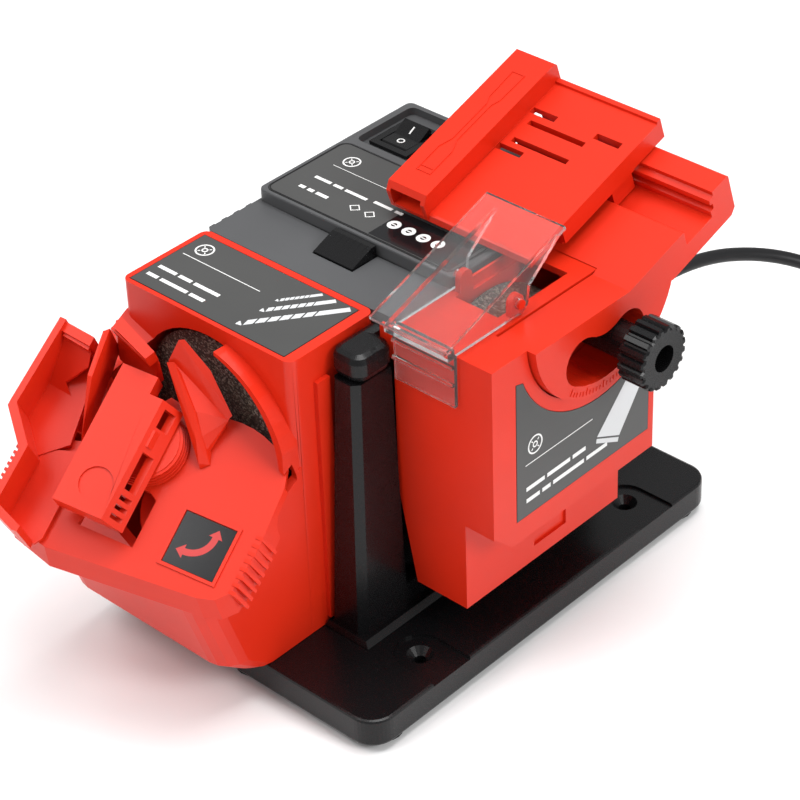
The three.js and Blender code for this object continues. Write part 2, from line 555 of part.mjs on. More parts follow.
function clampArm(parent, fixed, wheelBody) {
  const left = -56;
  const top = 17.5;
  const profile = [[left, 8.2], [left, top], [-34.5, top], [-27.5, 8.2]];
  const pull = (points, low, high) => {
    const geometry = new THREE.ExtrudeGeometry(outline(points), { depth: high - low, bevelEnabled: false });
    geometry.applyMatrix4(new THREE.Matrix4().makeBasis(
      new THREE.Vector3(1, 0, 0), new THREE.Vector3(0, 0, 1), new THREE.Vector3(0, -1, 0)));
    geometry.translate(0, high, 0);
    return solid(geometry);
  };
  let arm = cut(pull(profile, -9, 51), onPlate([[-40.4, 43.6], [-20, 43.6], [-20, 60], [-40.4, 60]], 0,
    30));
  arm = cut(arm, pull([[left + 2, 7], [left + 2, top - 2], [-35.6, top - 2], [-30.4, 7]], -7, 42));
  arm = joined(arm, pull([[left + 1, 8.2], [left + 1, 15.6], [-32, 15.6], [-29, 8.2]], 24.5, 31.5));
  arm = cut(arm, rod([-43, 3, top + 25.2], [-43, 3, top - 1.2], 7,
    20).intersect(box([-60, -10, top - 0.8], [-30, 20, top + 3])),
    rod([-70, 28, 11.5], [-33.2, 28, 11.5], 1.8, 12));
  for (const [low, high] of [[-6.5, -4.5], [-2.5, -0.5], [1.5, 3.5], [6, 22], [33, 41]]) {
    arm = cut(arm, pull([[-36, 9.6], [-40, 14.4], [-20, 16.4], [-20, 11]], low, high));
  }
  place("clamp_arm", swivelSolid(arm), RED, parent);
  const wheelProfile = [[3.6, 0.6]];
  for (let ring = 0; ring < 4; ring += 1) {
    const z = 0.6 + ring * 1.6;
    wheelProfile.push([16.6 - ring * 0.5, z], [16.6 - ring * 0.5, z + 1], [15.4 - ring * 0.5, z + 1.1],
      [15.4 - ring * 0.5, z + 1.6]);
  }
  wheelProfile.push([3.6, 7.0], [3.6, 0.6]);
  const wheel = new THREE.LatheGeometry(wheelProfile.map(([r, z]) => new THREE.Vector2(r, z)), 28);
  wheel.rotateX(Math.PI / 2);
  wheel.translate(-37, 28, 0);
  place("thumbwheel", swivelSolid(solid(wheel)), RED, wheelBody);
  const stud = joined(rod([-37, 28, 0.3], [-37, 28, 7.8], 3.2, 16),
    rod([-37, 28, 7], [-37, 28, 7.9], 4.6, 16));
  place("clamp_stud", swivelSolid(stud), STEEL, fixed);
  place("clamp_pin", swivelSolid(rod([-57.5, 28, 11.5], [-33.8, 28, 11.5], 1.5, 12)), STEEL, fixed);
}

// ---- Chisel module ------------------------------------------------------------------------------
function chiselHousing() {
  const { left, right, front, back, top } = CHISEL;
  const blockRight = -7.2;
  const across = [[left, top], [left, 60], [-34, 17], [blockRight, 17], [blockRight, 49.5], [right, 49.5],
    [right, top]];
  let housing = cut(alongY(across, front, back),
    box([left - 1, 159, 0], [right + 1, back + 1, 49.4]),
    alongX([[front - 1, 49], [front - 1, 59.2], [front + 1.6, 58.6], [74.4, 49.3], [74.4, 49]],
      blockRight, right + 1));
  housing = joined(housing, box([-49.5, 63.6, 123], [-41.5, 66, 136]));
  const { y, r } = WHEEL;
  housing = cut(housing,
    box([left + 2.5, front + WALL, 44], [-14, back - WALL, top - WALL]),
    box([-31, front + WALL, 20], [-10.2, 156, 45]),
    box([left + 1.2, 93.5, top - 5], [-14.8, 134.8, top + 1]),
    rod([left - 1, y, DISC.z], [left + 4, y, DISC.z], 10, 20),
    rod([-8, PIVOT.y, PIVOT.z], [20, PIVOT.y, PIVOT.z], PIVOT.r + 0.7, 56),
    rod([-14, 135, 119], [0, 135, 119], 3.4, 16),
    box([blockRight - 1.2, 105, 24], [blockRight + 1, 125, 42]));
  housing = joined(housing, rod([-15.4, 135, 119], [-8, 135, 119], 7,
    16).subtract(rod([-20, 135, 119], [0, 135, 119], 3.4, 16)));
  const pin = (x0, x1) => rod([x0, GUARD_PIN.y, GUARD_PIN.z], [x1, GUARD_PIN.y, GUARD_PIN.z], 2, 16);
  const ear = (x0, x1) => joined(rod([x0, GUARD_PIN.y, GUARD_PIN.z], [x1, GUARD_PIN.y, GUARD_PIN.z], 3.6,
    20),
    box([x0, GUARD_PIN.y - 3.6, top - 4], [x1, GUARD_PIN.y + 3.6, GUARD_PIN.z]));
  housing = joined(housing, ear(-14.4, -11.6), box([-16, 92, top - 3], [-11.6, 106, top - 0.01]),
    pin(-12, -8.4),
    ear(-39.4, -36.8), box([-41.6, 92, top - 3], [-36.8, 104, top - 0.01]), pin(-42.4, -38));
  const labelShape = [[77, 59.8], [159.3, 59.8], [159.3, 103], [77, 126]];
  const labelOutline = (shrink, x0, x1) => cut(
    alongX(labelShape.map(([a, b]) => [a + (a < 100 ? shrink : -shrink),
      b + (b < 80 ? shrink : -shrink)]), x0, x1),
    rod([x0 - 1, PIVOT.y, PIVOT.z], [x1 + 1, PIVOT.y, PIVOT.z], 48.6 + shrink, 56));
  housing = cut(housing, labelOutline(0, right - 0.6, right + 1));
  place("chisel_housing", housing, RED);
  place("chisel_label", labelOutline(0.3, right - GAP, right + 0.1), STICKER);
}

function railMatrix() {
  const tilt = THREE.MathUtils.degToRad(RAIL_TILT);
  return new THREE.Matrix4().makeRotationX(tilt).setPosition(0, RAIL_ORIGIN[1], RAIL_ORIGIN[2]);
}

const RAIL = railMatrix();
const onRail = (manifold) => solid(geometryOf(manifold).applyMatrix4(RAIL));

function tiltBracket(parent) {
  const right = RAIL_ORIGIN[0];
  const section = [[-33.6, 0], [-0.6, 0], [0, -0.6], [0, -7.2], [16.7, -7.2], [16.7, -4.4], [18.8, -3.8],
    [18.8, -1.6],
    [17.2, -1], [17.2, 1.4], [19.8, 2.2], [19.8, 4.2], [29.6, 4.2], [30.4, 3.4], [30.4, -14],
    [27.6, -16.5], [-11.9, -16.5],
    [-17.6, -11], [-33.6, -11]];
  const rail = onRail(alongX(section, -43, right));
  const shoulder = onRail(alongX([[-42.4, 0], [-30, 0], [-18, -11], [-42.4, -11]], -7.4, right));
  const halfDisc = rod([-7.4, PIVOT.y, PIVOT.z], [right, PIVOT.y, PIVOT.z], PIVOT.r, 56)
    .intersect(box([-10, 70, 60], [20, 175, 137.8]));
  const overHousing = box([-60, 100, 90], [-7.7, CHISEL.back + 0.6, CHISEL.top + 0.4]);
  let bracket = joined(cut(rail, overHousing), shoulder, halfDisc);
  const slotAngles = [-122, -91, -60];
  const slot = [];
  const middle = 26.5;
  for (let step = 0; step <= 6; step += 1) {
    const angle = THREE.MathUtils.degToRad(slotAngles[0] + (step / 6) * (slotAngles[2] - slotAngles[0]));
    slot.push([PIVOT.y + middle * Math.cos(angle), PIVOT.z + middle * Math.sin(angle)]);
  }
  const half = 10.3;
  slot.forEach(([y, z], index) => {
    bracket = cut(bracket, rod([-9, y, z], [right + 2, y, z], half, 24));
    if (index > 0) {
      const [py, pz] = slot[index - 1];
      const length = Math.hypot(y - py, z - pz);
      const [ny, nz] = [(-(z - pz) / length) * half, ((y - py) / length) * half];
      bracket = cut(bracket, alongX([[py - ny, pz - nz], [y - ny, z - nz], [y + ny, z + nz],
        [py + ny, pz + nz]], -9, right + 2));
    }
  });
  place("tilt_bracket", bracket, RED, parent);
}

function clampKnob(parent) {
  const [y, z] = [135, 119];
  const profile = new THREE.Shape();
  const ribs = 20;
  for (let rib = 0; rib < ribs; rib += 1) {
    const step = (Math.PI * 2) / ribs;
    [[0, 12.6], [0.18, 14], [0.62, 14], [0.8, 12.6]].forEach(([share, radius], corner) => {
      const angle = (rib + share) * step;
      const point = [y + radius * Math.cos(angle), z + radius * Math.sin(angle)];
      if (rib === 0 && corner === 0) profile.moveTo(...point);
      else profile.lineTo(...point);
    });
  }
  profile.closePath();
  const geometry = new THREE.ExtrudeGeometry(profile,
    { depth: 11.4, bevelEnabled: true, bevelThickness: 0.7, bevelSize: 0.7, bevelOffset: -0.7,
      bevelSegments: 1 });
  geometry.applyMatrix4(new THREE.Matrix4().makeBasis(
    new THREE.Vector3(0, 1, 0), new THREE.Vector3(0, 0, 1), new THREE.Vector3(1, 0, 0)));
  geometry.translate(21.4, 0, 0);
  const knob = joined(solid(geometry), rod([-7.4, y, z], [21, y, z], 7.6, 24),
    rod([-13.6, y, z], [-7, y, z], 3.2, 16));
  place("clamp_knob", cut(knob, rod([25.5, y, z], [36, y, z], 5.8, 20)), BLACK, parent);
}

function slidePlate(parent) {
  const front = -51;
  const back = 35.5;
  const slabTop = 14;
  const slabLow = 11;
  let plate = joined(
    alongX([[front, slabLow], [front + 1, slabTop - 0.4], [front + 2, slabTop], [back - 2.4, slabTop],
      [back - 2.2, slabTop + 1.2],
      [back, slabTop + 1.2], [back, slabLow - 3], [back - 2, slabLow - 3], [back - 2, slabLow]], -78, -24),
    alongX([[-30, 3], [-30, slabLow + 1], [-28, slabLow + 1], [-28, 3]], -76, -26),
    alongX([[2, -6.2], [2, slabLow + 1], [15, slabLow + 1], [15, -6.2]], -74, -26),
    box([-26, -30, 4.4], [-24, back, slabLow + 1]).subtract(box([-30, 15, 0], [-20, 40, 5])),
    alongX([[20.4, 4.6], [20.4, slabLow + 1], [23, slabLow + 1], [23, 4.6]], -76, -26));
  plate = joined(plate,
    alongX([[front, slabLow], [front, slabLow + 8.5], [front + 3, 23], [back, 23], [back + 1, 21.6],
      [back + 1, slabLow]], -97.5, -77));
  plate = cut(plate, alongX([[-60, 12.8], [-60, 20.6], [33, 20.6], [33, 12.8]], -95.4, -79.2)
      .intersect(box([-100, front - 2, 0], [0, front + 12, 30])));
  for (const u of [10.2, -0.6]) plate = cut(plate, box([-73, u - 1.3, -8], [-44, u + 1.3, 20]));
  for (const [u, x0, x1] of [[16.4, -76.5, -63.5], [-6.2, -76.5, -63.5], [16.4, -43, -30]]) {
    plate = cut(plate, box([x0, u - 1.6, -8], [x1, u + 1.6, 20]));
  }
  place("slide_plate", onRail(plate), RED, parent);
}

function guard(parent) {
  const skin = 1.8;
  const frontTop = [57.4, 143.2];
  const backTop = [126.3, 166.5];
  const under = (point) => [point[0] + 0.6, point[1] - skin];
  const top = alongX([under(frontTop), under(backTop), backTop, frontTop], -49, -9.2);
  const skirt = [[57.6, 142.6], [58.4, 139.4], [97, 139.4], [100.4, 139.2], [103.4, 140.6], [104.6, 143],
    [105.4, 149.6],
    [125.6, 165.4]];
  const side = (x0, x1) => alongX(skirt, x0, x1);
  const flange = joined(box([-40.4, 61.4, 116], [-9.3, 63.1, 142]),
    box([-40.4, 60.2, 126], [-9.3, 63.1, 127.6]),
    box([-40.4, 60.2, 134], [-9.3, 63.1, 135.6]), box([-42, 58.2, 138.9], [-9.3, 63.1, 141]));
  let cover = joined(top, side(-11.2, -9.2), side(-42, -40), flange);
  cover = cut(cover, rod([-50, GUARD_PIN.y, GUARD_PIN.z], [0, GUARD_PIN.y, GUARD_PIN.z], 2.3, 16));
  place("guard", cover, CLEAR, parent);
}

// ---- Mains cord ---------------------------------------------------------------------------------
const CORD_ROUTE = [[-76, 207.6, 42], [-76, 222, 42], [-76, 240, 42], [-75.8, 258, 42], [-74.8, 276, 42],
  [-72.6, 292, 41.6],
  [-68.4, 309, 39.4], [-61.6, 328, 33.6], [-52, 343, 27.4], [-38, 355, 20], [-20, 363, 11.4],
  [0, 366.6, 2.4],
  [20, 367.4, -5.4], [40, 367, -10.4], [58, 366.2, -12.4], [76, 365.5, -12.65], [94.6, 365.3, -12.65]];
const TAIL_ROUTE = [[135.3, 324.6, -6.05], [135.4, 312, -7.4], [135.8, 298, -10.2], [136, 284, -12.2],
  [136, 268, -12.65],
  [136, 250, -12.65]];

function tube(points, steps, radius = CORD_RADIUS) {
  const section = new THREE.Shape().absarc(0, 0, radius, 0, Math.PI * 2);
  const path = new THREE.CatmullRomCurve3(points.map((point) => new THREE.Vector3(...point)), false,
    "centripetal");
  return solid(new THREE.ExtrudeGeometry(section,
    { steps, extrudePath: path, curveSegments: 5, bevelEnabled: false }));
}

function mainsCord() {
  const sleeve = joined(
    rod([-76, 193.5 + GAP, 42], [-76, 197, 42], 9, 20),
    rod([-76, 189, 42], [-76, 194.5, 42], 5.6, 20),
    rod([-76, 196.5, 42], [-76, 207.2, 42], 6.2, 20, 4.6));
  place("strain_relief", sleeve, RUBBER);
  place("cord_free", tube(CORD_ROUTE, 44), RUBBER);
  place("cord_tail", tube(TAIL_ROUTE, 8), RUBBER);
  const half = COIL.height / 2;
  const { inner, outer } = COIL;
  const ring = [[inner, 2], [inner + 2, 0], [outer - 2, 0], [outer, 2], [outer, 2 * half - 2],
    [outer - 2, 2 * half],
    [inner + 2, 2 * half], [inner, 2 * half - 2], [inner, 2]];
  const coil = new THREE.LatheGeometry(ring.map(([r, z]) => new THREE.Vector2(r, z)), 36);
  coil.rotateX(Math.PI / 2);
  coil.translate(COIL.x, COIL.y, BASE.bottom - 3);
  const channel = (route, end, steps) => tube([...route, end].slice(-8), steps, CORD_RADIUS + 0.4);
  const coilSolid = cut(solid(coil),
    channel(CORD_ROUTE, [COIL.x + 1, CORD_ROUTE.at(-1)[1], CORD_ROUTE.at(-1)[2]], 24),
    channel([...TAIL_ROUTE].reverse(), [TAIL_ROUTE[0][0], COIL.y, TAIL_ROUTE[0][2]], 12));
  place("cord_coil", largest(coilSolid), RUBBER);
  const tieX = COIL.x - (inner + outer) / 2;
  const table = BASE.bottom - 3;
  const tie = cut(
    roundedBox([tieX - 8.6, COIL.y - 3, table], [tieX + 8.6, COIL.y + 3, table + COIL.height + 3], 1, 0, 2),
    box([tieX - 7.2, COIL.y - 5, table - 1], [tieX + 7.2, COIL.y + 5, table + COIL.height + 1.2]));
  place("cord_tie", tie, NYLON);
  plug();
}

function plug() {
  const [x, y, z] = [136, 249.6, -12.65];
  const body = cut(joined(
    hull([[x - 3.2, y, z - 3.2], [x + 3.2, y, z - 3.2], [x - 3.2, y, z + 3.4], [x + 3.2, y, z + 3.4],
      [x - 5, y - 22, z - 3.2], [x + 5, y - 22, z - 3.2], [x - 5, y - 22, z + 9], [x + 5, y - 22, z + 9]]),
    hull([[x - 8, y - 20, z - 3.2], [x + 8, y - 20, z - 3.2], [x - 8, y - 20, z + 12],
      [x + 8, y - 20, z + 12],
      [x - 17, y - 38, z - 3.2], [x + 17, y - 38, z - 3.2], [x - 17, y - 38, z + 23],
      [x + 17, y - 38, z + 23]]),
    box([x - 17, y - 50, z - 3.2], [x + 17, y - 37, z + 23])),
    rod([x, y - 40, z + 10], [x, y - 52, z + 10], 2.5, 12));
  const shell = joined(body, rod([x - 9.5, y - 48, z + 10], [x - 9.5, y - 69, z + 10], 2.4, 14),
    rod([x + 9.5, y - 48, z + 10], [x + 9.5, y - 69, z + 10], 2.4, 14));
  place("cord_plug", shell, BLACK);
}

// ---- Assembly -----------------------------------------------------------------------------------
const group = () => {
  const made = new THREE.Group();
  machine.add(made);
  return made;
};

basePlate();
feet();
mainHousing();
upperShell();
releaseLatch(group());
rockerSwitch(machine, group());
motor(machine, group());
spindle(machine, group());
crossShaft(machine, group());
drillHousing();
const swivel = group();
swivelPlate(swivel);
swivelFence(swivel);
drillJaws(swivel);
clampArm(group(), swivel, group());
chiselHousing();
const bracketBody = group();
tiltBracket(bracketBody);
clampKnob(group());
slidePlate(bracketBody);
guard(group());
mainsCord();

export default machine;
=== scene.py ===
import math

import bpy
import bmesh
from mathutils import Matrix, Vector


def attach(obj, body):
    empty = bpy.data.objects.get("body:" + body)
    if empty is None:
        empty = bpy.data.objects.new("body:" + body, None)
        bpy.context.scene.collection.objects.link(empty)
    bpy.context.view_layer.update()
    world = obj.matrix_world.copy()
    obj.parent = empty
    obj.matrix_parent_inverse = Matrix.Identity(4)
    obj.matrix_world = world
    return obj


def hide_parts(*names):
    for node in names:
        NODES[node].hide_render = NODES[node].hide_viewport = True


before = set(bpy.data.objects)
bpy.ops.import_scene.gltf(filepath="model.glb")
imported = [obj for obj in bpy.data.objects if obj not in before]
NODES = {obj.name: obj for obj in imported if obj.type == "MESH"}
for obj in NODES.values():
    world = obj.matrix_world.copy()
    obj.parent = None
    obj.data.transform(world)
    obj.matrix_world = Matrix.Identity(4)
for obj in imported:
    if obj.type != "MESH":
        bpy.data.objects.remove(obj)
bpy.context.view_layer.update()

# Places are in millimetres from the near right corner of the base's top face.
# ORIGIN is where the frame has its zero.
ORIGIN = Vector((-62.652, 71.689, -16.0))
X, Y, Z = Vector((1, 0, 0)), Vector((0, 1, 0)), Vector((0, 0, 1))


def at(x, y, z):
    """A place on the model, in the frame's metres."""
    return (Vector((x, y, z)) - ORIGIN) / 1000


# ---- Camera -------------------------------------------------------------------------------------
CAMERA_TURN = (43.84, 35.55, -2.21)  # degrees: azimuth, elevation and roll
CAMERA_PLACE = (568.0, -569.7, 732.1)
LENS = 124.83  # millimetres, on a sensor 36 mm wide
azimuth, elevation, roll = (math.radians(a) for a in CAMERA_TURN)
back = Vector((math.sin(azimuth) * math.cos(elevation), -math.cos(azimuth) * math.cos(elevation),
               math.sin(elevation)))
level = (-back).cross(Z).normalized()
upright = level.cross(-back)
right = math.cos(roll) * level + math.sin(roll) * upright
up = -math.sin(roll) * level + math.cos(roll) * upright
camera_data = bpy.data.cameras.new("camera")
camera_data.lens = LENS
camera_data.clip_end = 20
camera = bpy.data.objects.new("camera", camera_data)
facing = Matrix((right, up, back)).transposed().to_4x4()
camera.matrix_world = Matrix.Translation(at(*CAMERA_PLACE)) @ facing
bpy.context.collection.objects.link(camera)
bpy.context.scene.camera = camera
bpy.context.scene.view_settings.view_transform = "Standard"


# ---- Material helpers ---------------------------------------------------------------------------
def material(name, color, roughness, metallic=0.0, **sockets):
    """A plain Principled material. Other sockets are named with _ for each space."""
    made = bpy.data.materials.new(name)
    made.use_nodes = True
    shader = made.node_tree.nodes["Principled BSDF"]
    shader.inputs["Base Color"].default_value = (*color, 1)
    shader.inputs["Roughness"].default_value = roughness
    shader.inputs["Metallic"].default_value = metallic
    for key, value in sockets.items():
        shader.inputs[key.replace("_", " ")].default_value = value
    made.diffuse_color = (*color, 1)
    return made


def node(tree, kind, **inputs):
    """Adds a node, and sets each input or, where it has no such input, the setting of that name."""
    made = tree.nodes.new(kind)
    for key, value in inputs.items():
        name = key.replace("_", " ")
        if name in made.inputs:
            made.inputs[name].default_value = value
        else:
            setattr(made, key, value)
    return made


def wire(tree, source, output, target, socket):
    tree.links.new(source.outputs[output], target.inputs[socket])


def grained(made, scale, height, distance=0.0001, tint=0.0, rough=0.0, detail=4.0):
    """Adds a fine grain to the surface, with a slight drift of colour and gloss."""
    tree = made.node_tree
    shader = tree.nodes["Principled BSDF"]
    place = node(tree, "ShaderNodeTexCoord")
    noise = node(tree, "ShaderNodeTexNoise", Scale=scale, Detail=detail, Roughness=0.6)
    wire(tree, place, "Object", noise, "Vector")
    bump = node(tree, "ShaderNodeBump", Strength=height, Distance=distance)
    wire(tree, noise, "Fac", bump, "Height")
    wire(tree, bump, "Normal", shader, "Normal")
    if tint:
        broad = node(tree, "ShaderNodeTexNoise", Scale=22.0, Detail=3.0)
        wire(tree, place, "Object", broad, "Vector")
        ramp = node(tree, "ShaderNodeValToRGB")
        base = shader.inputs["Base Color"].default_value
        for element, factor, spot in zip(ramp.color_ramp.elements, (1 - tint, 1 + tint), (0.3, 0.7)):
            element.position = spot
            element.color = (*(min(c * factor, 1) for c in base[:3]), 1)
        wire(tree, broad, "Fac", ramp, "Fac")
        wire(tree, ramp, "Color", shader, "Base Color")
    if rough:
        base = shader.inputs["Roughness"].default_value
        spread = node(tree, "ShaderNodeMapRange")
        spread.inputs["To Min"].default_value = base - rough
        spread.inputs["To Max"].default_value = base + rough
        wire(tree, noise, "Fac", spread, "Value")
        wire(tree, spread, "Result", shader, "Roughness")
    return made


RED = grained(material("red_abs", (0.66, 0.022, 0.005), 0.36, Specular_IOR_Level=0.30),
              2600, 0.10, tint=0.05, rough=0.05)
BLACK = grained(material("black_abs", (0.0045, 0.0045, 0.005), 0.27, Specular_IOR_Level=0.28),
                2400, 0.12, tint=0.10, rough=0.06)
GREY = grained(material("grey_abs", (0.075, 0.076, 0.079), 0.40, Specular_IOR_Level=0.4),
               2400, 0.12, tint=0.06, rough=0.05)
RUBBER = grained(material("rubber", (0.008, 0.008, 0.009), 0.62, Specular_IOR_Level=0.3),
                 1800, 0.2, tint=0.12, rough=0.06)
CORD = grained(material("cord_sheath", (0.006, 0.006, 0.007), 0.42, Specular_IOR_Level=0.35),
               1500, 0.16, tint=0.1, rough=0.05)
STEEL = grained(material("turned_steel", (0.55, 0.55, 0.56), 0.28, 1.0), 900, 0.1, tint=0.08, rough=0.06)
PLATED = grained(material("zinc_plate", (0.60, 0.60, 0.61), 0.34, 1.0), 300, 0.1, tint=0.10, rough=0.08)
COPPER = grained(material("wound_copper", (0.55, 0.22, 0.09), 0.36, 1.0),
                 700, 0.3, 0.0002, tint=0.15, rough=0.08)
NYLON = grained(material("nylon", (0.74, 0.72, 0.64), 0.45), 1500, 0.12, tint=0.04, rough=0.05)
FOIL = grained(material("grey_foil", (0.060, 0.060, 0.059), 0.30, Specular_IOR_Level=0.35),
               1900, 0.06, tint=0.05, rough=0.04)
DARK_FOIL = grained(material("black_foil", (0.007, 0.007, 0.008), 0.14, Specular_IOR_Level=0.3),
                    900, 0.04, tint=0.08, rough=0.03)
SILVER = grained(material("silver_print", (0.62, 0.63, 0.64), 0.30), 1400, 0.05, tint=0.06, rough=0.05)
WHITE = grained(material("white_print", (0.78, 0.78, 0.77), 0.42), 1400, 0.05, tint=0.03, rough=0.04)
RED_PRINT = grained(material("red_print", (0.50, 0.028, 0.026), 0.3), 1400, 0.05, tint=0.05, rough=0.04)
CLEAR = material("clear_acrylic", (0.98, 0.99, 0.99), 0.02, IOR=1.22, Transmission_Weight=0.97)
grained(CLEAR, 60, 0.03, 0.0002, detail=2.0)


def abrasive():
    """Bonded grain: dark brown with lighter and darker specks."""
    made = material("bonded_grain", (0.07, 0.042, 0.032), 0.8)
    tree = made.node_tree
    shader = tree.nodes["Principled BSDF"]
    place = node(tree, "ShaderNodeTexCoord")
    cells = node(tree, "ShaderNodeTexVoronoi", Scale=1500.0)
    wire(tree, place, "Object", cells, "Vector")
    broad = node(tree, "ShaderNodeTexNoise", Scale=90.0, Detail=5.0)
    wire(tree, place, "Object", broad, "Vector")
    ramp = node(tree, "ShaderNodeValToRGB")
    stops = ramp.color_ramp.elements
    stops[0].position, stops[0].color = 0.0, (0.020, 0.012, 0.010, 1)
    stops[1].position, stops[1].color = 1.0, (0.30, 0.24, 0.20, 1)
    middle = stops.new(0.62)
    middle.color = (0.080, 0.046, 0.034, 1)
    split = node(tree, "ShaderNodeSeparateColor")
    wire(tree, cells, "Color", split, "Color")
    wire(tree, split, "Red", ramp, "Fac")
    mix = node(tree, "ShaderNodeMix", data_type="RGBA", blend_type="MULTIPLY")
    mix.inputs["Factor"].default_value = 0.35
    wire(tree, ramp, "Color", mix, "A")
    wire(tree, broad, "Color", mix, "B")
    tree.links.new(mix.outputs["Result"], shader.inputs["Base Color"])
    bump = node(tree, "ShaderNodeBump", Strength=0.7, Distance=0.0004)
    wire(tree, cells, "Distance", bump, "Height")
    wire(tree, bump, "Normal", shader, "Normal")
    return made


GRAIN = abrasive()


# ---- CAD pieces that keep their shape -----------------------------------------------------------
FLAT = 1.5  # degrees: neighbouring facets within this are one face
SHARP = 32  # degrees: edges sharper than this are rounded


def dress(name, finish, radius):
    """Gives a CAD node its finish, merges its flat facets and rounds its edges by radius, in millimetres."""
    piece = NODES[name]
    piece.data.materials.clear()
    piece.data.materials.append(finish)
    flat = piece.modifiers.new("flat", "DECIMATE")
    flat.decimate_type = "DISSOLVE"
    flat.angle_limit = math.radians(FLAT)
    if radius:
        soft = piece.modifiers.new("edges", "BEVEL")
        soft.width = radius / 1000
        soft.segments = 2
        soft.limit_method = "ANGLE"
        soft.angle_limit = math.radians(SHARP)
        soft.use_clamp_overlap = True
        soft.miter_outer = "MITER_ARC"
    for face in piece.data.polygons:
        face.use_smooth = True
    smooth = piece.modifiers.new("shading", "WEIGHTED_NORMAL")
    smooth.keep_sharp = True
    smooth.weight = 90


# Each node's finish, and the radius of its edges in millimetres.
FINISH = {
    "base_plate": (BLACK, 0.8), "main_housing": (BLACK, 1.1), "tower_cap": (BLACK, 0.0),
    "upper_shell": (GREY, 0.5), "control_label": (FOIL, 0.0), "switch_frame": (BLACK, 0.3),
    "switch_rocker": (BLACK, 0.35), "release_latch": (BLACK, 0.25), "motor_can": (PLATED, 0.3),
    "motor_end_cap": (NYLON, 0.3), "motor_armature": (COPPER, 0.0), "motor_pinion": (STEEL, 0.0),
    "motor_fan": (NYLON, 0.0), "spindle_shaft": (STEEL, 0.2), "spindle_gear": (NYLON, 0.0),
    "drill_disc": (GRAIN, 1.6), "disc_screw": (STEEL, 0.2), "bevel_gear_front": (STEEL, 0.2),
    "bearing_front": (STEEL, 0.2), "bearing_side": (STEEL, 0.2), "cross_shaft": (STEEL, 0.2),
    "bevel_gear_side": (STEEL, 0.2), "chisel_wheel": (GRAIN, 0.8), "drill_housing": (RED, 0.9),
    "drill_label": (FOIL, 0.0), "swivel_plate": (RED, 0.45), "swivel_label": (DARK_FOIL, 0.0),
    "swivel_screw": (STEEL, 0.2), "swivel_fence": (RED, 0.3), "jaw_left": (RED, 0.35),
    "jaw_right": (RED, 0.35), "clamp_stud": (STEEL, 0.2), "clamp_pin": (STEEL, 0.2),
    "clamp_arm": (RED, 0.45), "thumbwheel": (RED, 0.15), "chisel_housing": (RED, 0.8),
    "chisel_label": (FOIL, 0.0), "tilt_bracket": (RED, 0.6), "slide_plate": (RED, 0.4),
    "clamp_knob": (BLACK, 0.3), "guard": (CLEAR, 0.25), "strain_relief": (RUBBER, 0.3),
    "cord_tie": (NYLON, 0.3), "cord_plug": (BLACK, 0.6),
}
for number in range(1, 6):
    FINISH[f"foot_{number}"] = (RUBBER, 0.3)
for name, (finish, radius) in FINISH.items():
    dress(name, finish, radius)


# ---- Printed and moulded marks -----------------------------------------------------------------
PRINT_THICK = 0.06
MITRE_LIMIT = 0.35  # the least cosine, so that a sharp corner's point stays short


def line(points, width, closed=False):
    """A flat band that follows a path, as quads with mitred corners."""
    count = len(points)
    sides = []
    for index, (x, y) in enumerate(points):
        before = points[index - 1] if closed or index else points[0]
        after = points[(index + 1) % count] if closed or index < count - 1 else points[-1]
        arriving = Vector((x - before[0], y - before[1]))
        leaving = Vector((after[0] - x, after[1] - y))
        arriving = arriving.normalized() if arriving.length else leaving.normalized()
        leaving = leaving.normalized() if leaving.length else arriving
        mid = (arriving + leaving).normalized()
        reach = width / 2 / max(mid.dot(arriving), MITRE_LIMIT)
        sides.append(((x - mid.y * reach, y + mid.x * reach), (x + mid.y * reach, y - mid.x * reach)))
    last = count if closed else count - 1
    joints = [(sides[i], sides[(i + 1) % count]) for i in range(last)]
    return [[here[0], here[1], there[1], there[0]] for here, there in joints]


def arc(x, y, radius, start=0.0, end=360.0, steps=32):
    """Points along an arc, in degrees. A full turn leaves out the point that would repeat the first."""
    full = abs(end - start) >= 360
    count = steps if full else steps + 1
    stops = [math.radians(start + (end - start) * i / steps) for i in range(count)]
    return [(x + radius * math.cos(a), y + radius * math.sin(a)) for a in stops]


def rounded(left, front, right, back, radius, steps=6):
    """A rectangle's outline with round corners."""
    corners = ((right - radius, front + radius, -90), (right - radius, back - radius, 0),
               (left + radius, back - radius, 90), (left + radius, front + radius, 180))
    return [p for x, y, start in corners for p in arc(x, y, radius, start, start + 90, steps)]


def printed(name, faces, corner, across, along, body, finish, thick=PRINT_THICK):
    """A thin closed print. corner is its zero point, and across and along are its directions."""
    normal = across.cross(along).normalized()
    mesh = bpy.data.meshes.new(name)
    shape = bmesh.new()
    for face in faces:
        flat = [shape.verts.new(at(*(corner + across * u + along * v))) for u, v in face]
        made = shape.faces.new(flat)
        made.normal_update()
        if made.normal.dot(normal) < 0:
            made.normal_flip()
    bmesh.ops.remove_doubles(shape, verts=shape.verts, dist=1e-7)
    top = bmesh.ops.extrude_face_region(shape, geom=shape.faces[:])
    bmesh.ops.translate(shape, vec=normal * thick / 1000,
                        verts=[v for v in top["geom"] if isinstance(v, bmesh.types.BMVert)])
    bmesh.ops.recalc_face_normals(shape, faces=shape.faces[:])
    shape.to_mesh(mesh)
    shape.free()
    mesh.materials.append(finish)
    piece = bpy.data.objects.new(name, mesh)
    bpy.context.collection.objects.link(piece)
    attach(piece, body)


